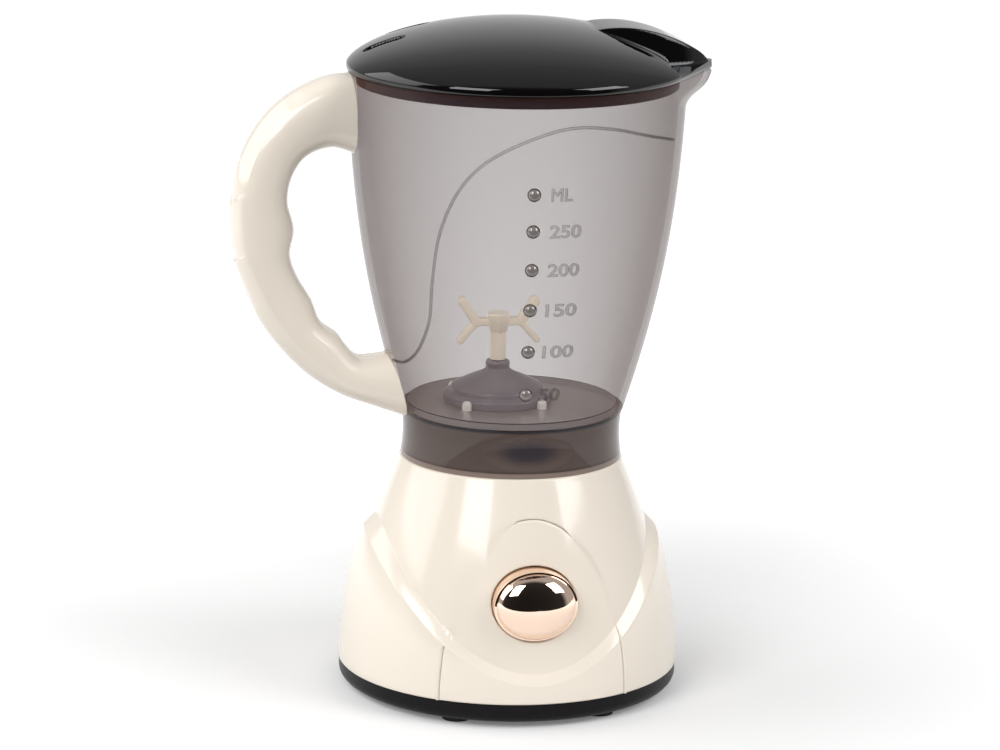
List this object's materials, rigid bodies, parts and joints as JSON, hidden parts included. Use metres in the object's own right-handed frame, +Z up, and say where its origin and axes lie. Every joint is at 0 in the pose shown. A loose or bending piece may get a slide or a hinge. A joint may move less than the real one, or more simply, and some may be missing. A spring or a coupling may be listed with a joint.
{
  "type": "toy blender",
  "caption": "Toy blender with a push button in a cone-shaped base, a lift-off clear jug with handle, spout and turning agitator, and a lift-off domed lid.",
  "frame": {"origin": "on the table, at the middle of the round base", "axes": "+Z up, -Y towards the push button, -X towards the jug's handle, +X towards its spout"},
  "size_m": [0.1355, 0.0985, 0.1912],
  "materials": {
    "cream_plastic": "glossy moulded cream plastic",
    "black_plastic": "glossy black plastic",
    "plate_black": "satin black plastic",
    "rubber_black": "matt black rubber",
    "screw_steel": "zinc plated steel",
    "spring_steel": "nickel plated spring steel",
    "battery_sleeve": "plain green sleeve",
    "motor_steel": "drawn steel can",
    "gear_plastic": "natural acetal",
    "frame_plastic": "light grey moulding",
    "bearing_bronze": "sintered bronze",
    "coupling_plastic": "dark grey acetal",
    "switch_plastic": "dark switch body",
    "wire_sleeve": "red wire insulation",
    "rose_mirror": "rose gold vacuum plating",
    "white_plastic": "white acetal",
    "smoke_clear": "smoked clear plastic",
    "seat_grey": "glossy dark grey plastic",
    "plug_grey": "soft dark grey plastic"
  },
  "bodies": {
    "base": {"base_housing": "cream_plastic", "front_panel": "cream_plastic", "base_plate": "plate_black", "rubber_feet": "rubber_black", "housing_screws": "screw_steel", "battery_door": "plate_black", "battery_door_screw": "screw_steel", "aa_batteries": "battery_sleeve", "battery_springs": "spring_steel", "battery_contacts": "spring_steel", "motor_can": "motor_steel", "motor_screws": "screw_steel", "gearbox_plate": "frame_plastic", "gearbox_screws": "screw_steel", "deck_bushing": "bearing_bronze", "switch_bracket": "frame_plastic", "push_switch": "switch_plastic", "wires": "wire_sleeve", "button_spring": "spring_steel"},
    "button": {"button_cap": "rose_mirror", "button_stem": "white_plastic", "switch_plunger": "switch_plastic"},
    "drive": {"drive_gear": "gear_plastic", "drive_shaft": "screw_steel", "drive_coupling": "coupling_plastic"},
    "rotor": {"motor_shaft": "screw_steel", "motor_pinion": "gear_plastic"},
    "jug": {"jug_shell": "smoke_clear", "jug_floor": "smoke_clear", "agitator_seat": "seat_grey", "seat_pegs": "white_plastic", "handle_front_half": "cream_plastic", "handle_rear_half": "cream_plastic"},
    "agitator": {"agitator_blades": "cream_plastic", "agitator_spindle": "screw_steel", "driven_coupling": "coupling_plastic"},
    "lid": {"lid_cover": "black_plastic", "lid_plug": "plug_grey"}
  },
  "joints": [
    {"name": "button_press", "type": "slide", "parent": "base", "child": "button", "axis": [0, 1, 0], "range_m": [0, 0.0025], "stiffness_N_per_m": 300, "deforming": ["button_spring"]},
    {"name": "drive_spin", "type": "hinge", "parent": "base", "child": "drive", "pos_m": [-0.0042, 0, 0.067], "axis": [0, 0, 1], "continuous": true},
    {"name": "rotor_spin", "type": "hinge", "parent": "base", "child": "rotor", "pos_m": [0.0142, 0, 0.055], "axis": [0, 0, 1], "continuous": true},
    {"name": "jug_lift", "type": "slide", "parent": "base", "child": "jug", "axis": [0, 0, 1], "range_m": [0, 0.04]},
    {"name": "agitator_spin", "type": "hinge", "parent": "jug", "child": "agitator", "pos_m": [-0.0042, 0, 0.09], "axis": [0, 0, 1], "continuous": true},
    {"name": "lid_lift", "type": "slide", "parent": "jug", "child": "lid", "axis": [0, 0, 1], "range_m": [0, 0.03]}
  ],
  "couplings": [
    {"joint": "rotor_spin", "follows": "drive_spin", "ratio": -2.8333},
    {"joint": "agitator_spin", "follows": "drive_spin", "ratio": 1}
  ]
}
